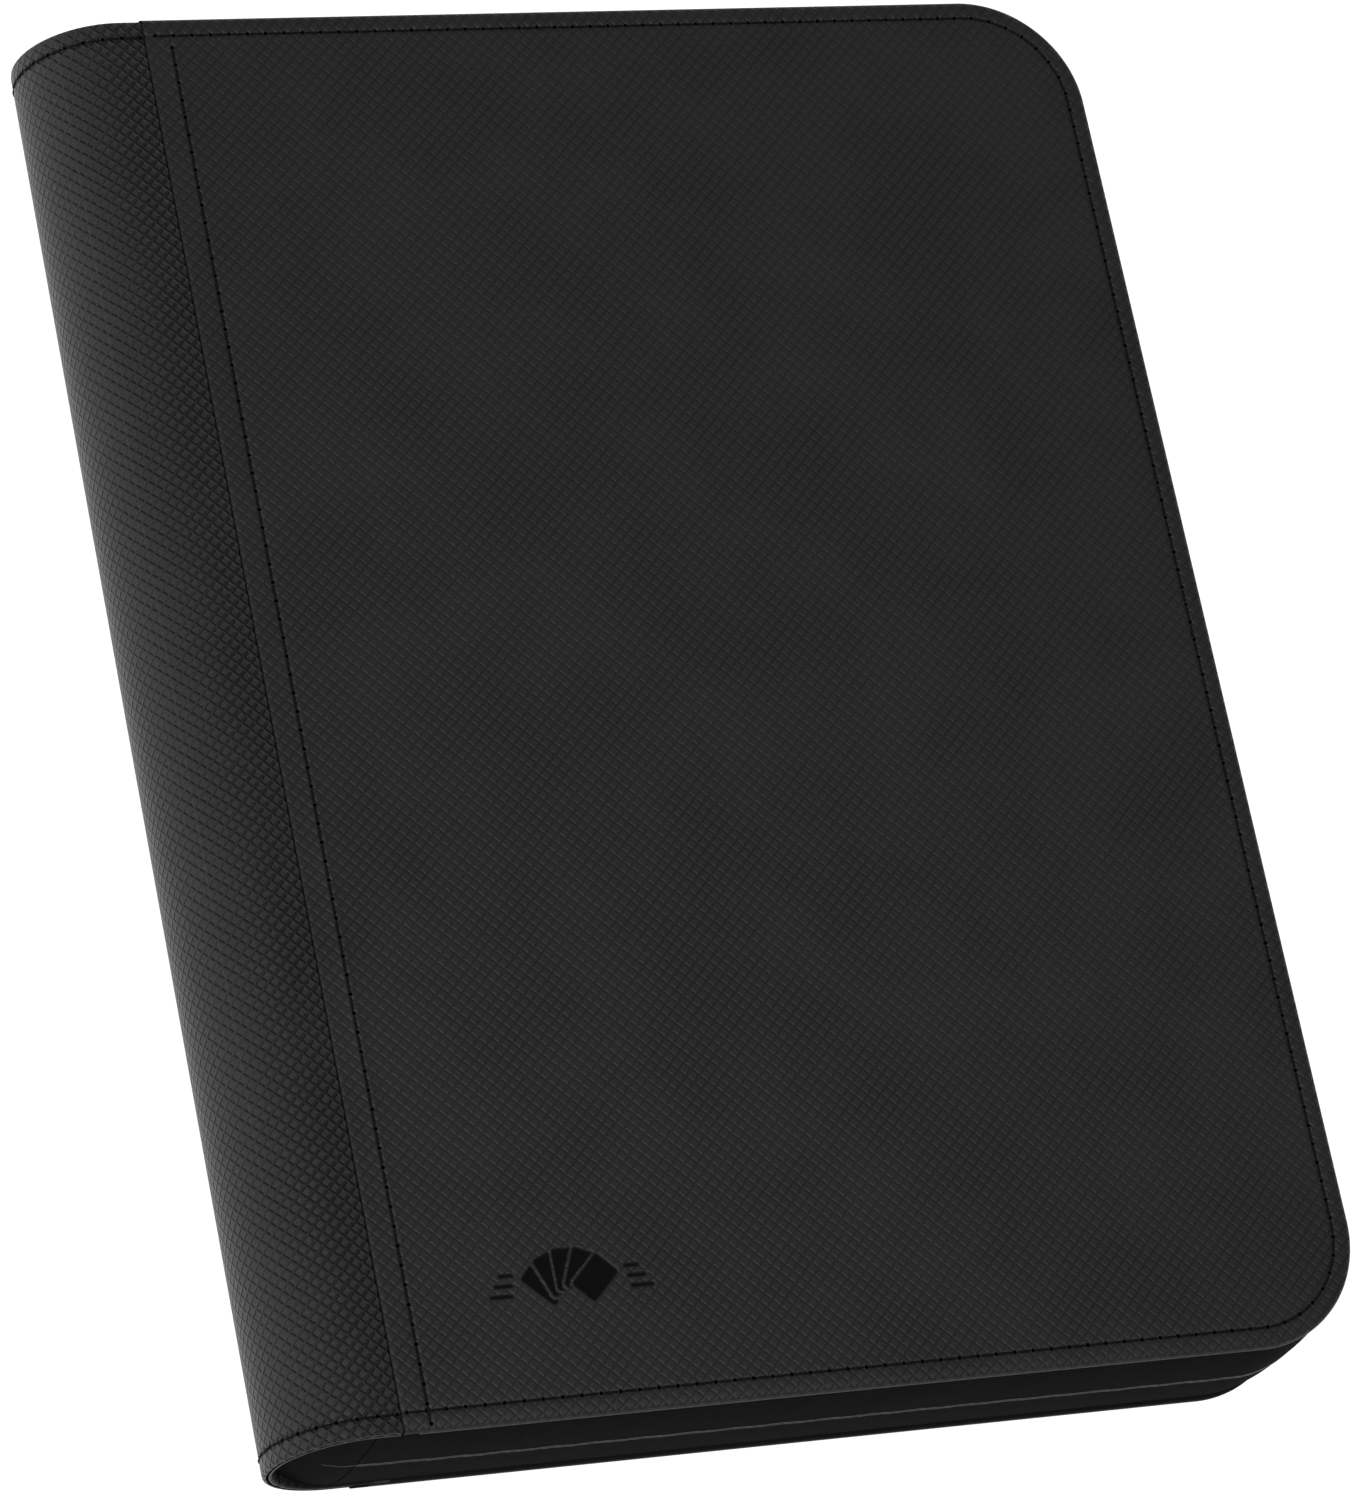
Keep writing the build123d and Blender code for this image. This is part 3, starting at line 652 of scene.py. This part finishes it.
for name, a, b, first, last, blend_at, over_cover, lap, layers in WRAP:
    bottom = first == 270
    turned = name in ("back", "high")
    x_flat, angle, tuck = section(first, last, SEAM + 5 if over_cover else None, lap)
    wide = len(x_flat) + len(angle)

    points, uv = wrap_points(x_flat, angle, tuck, RADIUS, ROWS, bottom)
    faces = quads(len(ROWS), wide)
    faces = flip(faces) if turned else faces
    # Painted shade on the wrap's turned ends at the tail and the head.
    shade = np.repeat(edge_shade(np.array([row[1] for row in ROWS])), wide)
    skin = dress(make(f"wrap_{name}", points, faces, uv, shade), BENT_LEATHER, "skin")
    bend(skin, a, b, *blend_at)
    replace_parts(skin, *layers)

    x_flat = list(np.linspace(SEAM + 9.5, SPINE, 8)[:-1]) if over_cover else []
    wide = len(x_flat) + len(angle)
    points, uv = wrap_points(x_flat, angle, np.zeros(wide), INNER, LINING_ROWS, bottom)
    faces = quads(len(LINING_ROWS), wide)
    faces = faces if turned else flip(faces)
    lining = dress(make(f"spine_lining_{name}", points, faces, uv), LINING, "lining")
    bend(lining, a, b, *blend_at)
    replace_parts(lining, *[n.replace("spine_skin", "spine_lining") for n in layers if "flap" not in n])


def spine_rows():
    """Stitches over the spine at the tail and the head, from seam to seam, as (angle, thread, hole)."""
    found = []
    for y in (-HALF + STITCH_INSET, HALF - STITCH_INSET):
        turned = np.linspace(90, 270, 160)
        px, pz = at_angle(RADIUS - 0.2, turned)
        flat = np.linspace(SEAM - 0.4, SPINE, 8)[:-1]
        x = np.r_[flat, px, flat[::-1]]
        z = np.r_[np.full(7, pz[0]), pz, np.full(7, pz[-1])]
        line = np.stack([x, np.full(len(x), y), z], 1)
        angles = np.r_[np.full(7, 90.0), turned, np.full(7, 270.0)]
        a = np.radians(angles)
        threads, holes = stitches(line, np.stack([np.cos(a), 0 * a, np.sin(a)], 1), 0.2)
        for kind, parts in (("thread", threads), ("hole", holes)):
            for part in parts:
                c = part[0].mean(0)
                angle = math.degrees(math.atan2(c[2] - MID, min(c[0] - SPINE, 0))) % 360
                found.append((angle, kind, part))
    return found


SPINE_STITCHES = spine_rows()
for name, a, b, first, last, blend_at, over_cover, lap, layers in WRAP:
    # the first and last pieces also take the stitches on the covers' flats
    lowest = min(first, last) - (5 if min(first, last) == 90 else 0)
    highest = max(first, last) + (5 if max(first, last) == 270 else 0)
    mine = [row for row in SPINE_STITCHES if lowest <= row[0] < highest]
    threads, holes = ([row[2] for row in mine if row[1] == kind] for kind in ("thread", "hole"))
    sew(f"spine_row_{name}", [(threads, holes)], bent=(a, b, *blend_at))


# ---------- border and seam stitching on the covers ----------

def outline(inset, start_x, step=1.0):
    """Points round tail, fore and head at an inset, from start_x at the tail to start_x at the head."""
    r = CORNER - inset
    fore, end = FORE - inset, HALF - inset
    pts = [(x, -end) for x in np.arange(start_x, fore - r, step)]
    pts += [(fore - r + r * math.sin(t), -end + r - r * math.cos(t)) for t in np.linspace(0, math.pi / 2, 40)]
    pts += [(fore, y) for y in np.arange(-end + r + step, end - r, step)]
    pts += [(fore - r + r * math.cos(t), end - r + r * math.sin(t)) for t in np.linspace(0, math.pi / 2, 40)]
    pts += [(x, end) for x in np.arange(fore - r - step, start_x, -step)]
    return np.array(pts)


STITCH_SINK = 0.24
for side, up in (("front", 1.0), ("back", -1.0)):
    level = MID + up * (TOP - MID - STITCH_SINK)
    border = outline(STITCH_INSET, SEAM + 0.9)
    line = np.c_[border, np.full(len(border), level)]
    normal = np.tile([0.0, 0.0, up], (len(line), 1))
    y = np.arange(-HALF + 1.6, HALF - STITCH_INSET + 0.1, 1.0)
    seam = np.stack([np.full(len(y), SEAM_STITCH), y, np.full(len(y), level + 0.04 * up)], 1)
    rows = [stitches(line, normal, 0.5), stitches(seam, np.tile([0.0, 0.0, up], (len(y), 1)))]
    sew(f"{side}_sewing", rows, body=side)


# ---------- the zip's tape, its edge bead and the wound coils ----------

def band_path(step=1.6):
    """Places round the zip from the spine's tail end to its head end, outward directions and way along."""
    r = CORNER
    turns = [(math.sin(t), math.cos(t)) for t in np.linspace(0, math.pi / 2, 34)]
    path = [((x, -HALF), (0, -1)) for x in np.arange(SPINE, FORE - r, step)]
    path += [((FORE - r + r * s, -HALF + r - r * c), (s, -c)) for s, c in turns]
    path += [((FORE, y), (1, 0)) for y in np.arange(-HALF + r + step, HALF - r, step)]
    path += [((FORE - r + r * c, HALF - r + r * s), (c, s)) for s, c in turns]
    path += [((x, HALF), (0, 1)) for x in (*np.arange(FORE - r - step, SPINE, -step), SPINE)]
    places, out = (np.array(part, float) for part in zip(*path))
    return places, out, way_along(places)


PLACE, OUT, WAY = band_path()
COIL_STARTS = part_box("upper_zip_coil")[0][0] * 1000
# 1 where the band swells outward, 0 on the head's straight run, where the slider travels
SWELL = 1 - smooth((PLACE[:, 1] - (HALF - CORNER - 8)) / (CORNER + 4))
ENDS = smooth((WAY[-1] - WAY) / 14) * (0.78 + 0.22 * smooth(WAY / 30))


def band(name, body, upside, stands_for):
    """Half of the zip's tape: a flange under the lining's edge, then a wall that swells to the zip's line."""
    base = TOP - COVER_DEPTH
    t = np.linspace(0, 1, 16)
    height = base - 0.25 - (base - 0.25 - MID - 0.5) * t
    profile = [(-9.0, base - 0.32), (-5.0, base - 0.3), (-2.2, base - 0.26), (-1.3, base - 0.32)]
    points, uv = [], []
    for (x, y), (ox, oy), s, swell, end in zip(PLACE, OUT, WAY, SWELL, ENDS):
        outward = -0.9 + (0.55 + 0.9 * swell * end) * np.sin(np.minimum(t * 1.25, 1) * math.pi / 2) ** 0.8
        pleat = 0.045 * np.sin(s / 5.1 + 1.7 * t) * np.sin(math.pi * t)
        row = profile + list(zip(outward + pleat, height))
        way = 0.0
        for k, (o, z) in enumerate(row):
            if k:
                way += math.hypot(o - row[k - 1][0], z - row[k - 1][1])
            points.append((x + ox * o, y + oy * o, z))
            uv.append((s, way))
    points, uv = np.array(points), np.array(uv)
    faces = quads(len(PLACE), len(profile) + len(t))
    if upside:
        points, faces = mirror(points), flip(faces)
    o = dress(make(name, points, flip(faces), uv), TAPE, "zip_tape")
    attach(o, body)
    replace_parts(o, stands_for)


def bead(name, body, sign):
    """The woven edge of a tape half, slightly wavy, where it meets the other half."""
    use = (PLACE[:, 1] < HALF - 1) | (PLACE[:, 0] > COIL_STARTS)
    dense = np.arange(WAY[use][0] + 0.2, WAY[use][-1], 0.55)
    get = lambda values: np.interp(dense, WAY, values)
    wave = 0.16 * np.sin(dense * 2 * math.pi / 3.1) + 0.22 * np.sin(dense * 2 * math.pi / 11.3 + 1)
    swell, end = get(SWELL), get(ENDS)
    outward = -0.72 + 0.9 * swell * end
    z = MID + sign * (0.95 - 0.5 * swell + 0.06 * wave) + wave * swell * 0.9
    x, y = (get(PLACE[:, k]) + get(OUT[:, k]) * outward for k in (0, 1))
    p, f, u = tube(np.stack([x, y, z], 1), 0.5 - 0.03 * np.cos(dense * 2 * math.pi / 1.1), 8)
    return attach(dress(make(name, p, f, u), COIL, "zip_coil"), body)


def coil(name, body, node):
    """The zip's coil, wound round its cord inside the tape."""
    lo, hi = (np.array(c) * 1000 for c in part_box(node))
    inset = HALF - hi[1] + 1.0
    path = outline(inset, lo[0] + 1.5, 0.8)
    s = way_along(path)
    past_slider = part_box("slider_body")[1][0] * 1000 + 1.2
    keep = (path[:, 1] < HALF - inset - 0.5) | (path[:, 0] > past_slider)
    w = np.arange(0, s[keep][-1], 0.105)
    x, y = np.interp(w, s, path[:, 0]), np.interp(w, s, path[:, 1])
    dx, dy = np.gradient(x), np.gradient(y)
    n = np.hypot(dx, dy)
    ox, oy = dy / n, -dx / n
    turn = w * 2 * math.pi / COIL_PITCH
    middle = (lo[2] + hi[2]) / 2
    deep, wide = 0.68, 0.98
    out = deep * np.sin(turn)
    line = np.stack([x + ox * out, y + oy * out, middle + wide * np.cos(turn)], 1)
    p, f, u = tube(line, 0.29, 5)
    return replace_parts(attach(dress(make(name, p, f, u), COIL, "zip_coil"), body), node)


band("zip_band_upper", "front", False, "upper_zip_tape")
band("zip_band_lower", "back", True, "lower_zip_tape")
bead("zip_bead_upper", "front", 1)
bead("zip_bead_lower", "back", -1)
coil("zip_coil_upper", "front", "upper_zip_coil")
coil("zip_coil_lower", "back", "lower_zip_coil")


def tape_end(name, sign):
    """The joined end of both tapes: a half disc sunk into the spine's hollow, with the zip's line on it."""
    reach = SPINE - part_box("zip_end_gussets")[0][0] * 1000 - 0.15
    angles = np.radians(np.linspace(90, 270, 60))
    shares = np.linspace(0, 1, 22)
    points, uv = [], []
    for a in angles:
        for k in shares:
            r = k * reach
            x, z = SPINE - 0.05 + r * math.cos(a), MID + r * math.sin(a)
            t = min(max(1 - (abs(z - MID) - 0.5) / (TOP - COVER_DEPTH - MID - 0.75), 0), 1)
            swell = 0.9 * 0.78 if sign < 0 else 0.0
            section_out = -0.9 + (0.55 + swell) * math.sin(min(t * 1.25, 1) * math.pi / 2) ** 0.8
            sink = 0.1 - section_out + 3.4 * smooth(((SPINE - x) / reach - 0.08) / 0.92)
            points.append((x, sign * (HALF - sink), z))
            uv.append((x, z))
    points = np.array(points)
    inner = points.copy()
    inner[:, 1] -= sign * 0.8
    faces = quads(len(angles), len(shares))
    rim = np.arange(len(angles)) * len(shares) + len(shares) - 1
    edge = np.stack([rim[:-1], rim[1:], rim[1:] + len(points), rim[:-1] + len(points)], 1)
    outside, inside = (faces, flip(faces)) if sign < 0 else (flip(faces), faces)
    shell = np.vstack([outside, inside + len(points), edge])
    o = dress(make(name, np.vstack([points, inner]), shell, np.array(uv + uv)), TAPE, "zip_tape")
    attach(o, "spine")
    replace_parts(o, "zip_end_gussets")
    x = np.arange(SPINE + 0.2, SPINE - 11, -0.5)
    k = (SPINE - x) / reach
    wave = 0.09 * np.sin(x * 2 * math.pi / 3.1)
    y = sign * (HALF + (0.35 if sign < 0 else -0.35) - 0.45 - 3.4 * smooth((k - 0.08) / 0.92))
    taper = 0.44 * np.sqrt(np.maximum(1 - smooth((SPINE - 6 - x) / 5), 0.04))
    p, f, u = tube(np.stack([x, y, np.full(len(x), MID) + wave], 1), taper, 8)
    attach(dress(make(name + "_line", p, f, u), COIL, "zip_coil"), "spine")


tape_end("tape_end_tail", -1)
tape_end("tape_end_head", 1)


# ---------- the covers' linings ----------

def cover_lining(name, body, upside, node):
    """A cover's lining, as a sheet with rounded fore corners."""
    lo, hi = (np.array(c) * 1000 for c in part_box(node))
    face = lo[2] if not upside else hi[2]
    inset = FORE - hi[0]
    r = CORNER - inset
    xs = np.linspace(LINING_START, hi[0], 60)
    ys = np.linspace(-1, 1, 80)
    points = []
    for v in ys:
        for x in xs:
            over = max(x - (hi[0] - r), 0)
            end = HALF - inset - (r - math.sqrt(max(r * r - over * over, 0)))
            points.append((x, v * end, face + 0.02 * (1 if upside else -1)))
    points = np.array(points)
    faces = quads(len(ys), len(xs))
    o = dress(make(name, points, faces if upside else flip(faces), points[:, :2]), LINING, "lining")
    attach(o, body)
    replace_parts(o, node)


cover_lining("front_cover_lining", "front", False, "front_lining")
cover_lining("back_cover_lining", "back", True, "back_lining")


# ---------- finishes of the pieces kept from the frame ----------

# Part of a node's name, its material and its slot. The first that fits is taken.
KEPT = [
    ("board", BOARD, "board"),
    ("stiffener", STIFF, "stiffener"),
    ("stops", METAL, "zip_metal"),
    ("slider", METAL, "zip_metal"),
    ("pull_link", METAL, "zip_metal"),
    ("pull_grip", RUBBER, "grip"),
    ("page_binding", BINDING, "binding"),
    ("rivets", STEEL, "rivet"),
    ("page_", FILM, "page"),
]
for node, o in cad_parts.items():
    found = [(material, slot) for key, material, slot in KEPT if key in node]
    if found and not o.hide_render:
        dress(o, *found[0])


# ---------- floor, light and camera ----------

FLOOR_REACH = 6
floor = bpy.data.objects.new("floor", bpy.data.meshes.new("floor"))
floor_corners = [(x * FLOOR_REACH, y * FLOOR_REACH, 0) for x, y in ((-1, -1), (1, -1), (1, 1), (-1, 1))]
floor.data.from_pydata(floor_corners, [], [(0, 1, 2, 3)])
bpy.context.scene.collection.objects.link(floor)
floor.location.z = low.z - 0.0005
paper = Finish("paper_floor")
grain = paper.noise(paper.place(), 0.02, 3.0)
paper.bsdf.inputs["Emission Color"].default_value = (1, 1, 1, 1)
paper.bsdf.inputs["Emission Strength"].default_value = 0.8
floor.data.materials.append(paper.done(paper.mix(grain, (0.66, 0.66, 0.66), (0.7, 0.7, 0.7)), 0.9, 0.0))


def area_light(name, place, aim, size, power, size_y=None):
    """A rectangular light at a place, turned towards aim. Sizes in metres, power in watts."""
    data = bpy.data.lights.new(name, "AREA")
    data.shape = "RECTANGLE"
    data.size, data.size_y = size, size_y or size
    data.energy = power
    o = bpy.data.objects.new(name, data)
    bpy.context.scene.collection.objects.link(o)
    o.location = place
    o.rotation_mode = "QUATERNION"
    o.rotation_quaternion = (Vector(aim) - Vector(place)).to_track_quat("-Z", "Y")
    return o


area_light("overhead", (-0.75, -0.7, 2.4), (0, 0, 0), 2.6, 47)
area_light("left_panel", (-2.1, 0.1, 1.0), (0, 0, 0.02), 0.8, 11, 1.8)
world = bpy.data.worlds.new("studio")
bpy.context.scene.world = world
world.use_nodes = True
world.node_tree.nodes["Background"].inputs["Color"].default_value = (1, 1, 1, 1)
world.node_tree.nodes["Background"].inputs["Strength"].default_value = 0.2

camera = bpy.data.objects.new("camera", bpy.data.cameras.new("camera"))
bpy.context.scene.collection.objects.link(camera)
camera.data.lens, camera.data.sensor_width = 169.37, 36
camera.data.clip_start, camera.data.clip_end = 0.05, 30
CAMERA_AT = (-0.61798, -0.56385, 1.46519)
CAMERA_RIGHT = (0.92686, -0.19134, 0.32298)
CAMERA_UP = (0.05847, 0.92343, 0.37928)
CAMERA_BACK = (-0.37082, -0.33265, 0.86708)
turn = Matrix((CAMERA_RIGHT, CAMERA_UP, CAMERA_BACK)).transposed().to_4x4()
camera.matrix_world = Matrix.Translation(CAMERA_AT) @ turn
bpy.context.scene.camera = camera
bpy.context.scene.view_settings.view_transform = "Standard"
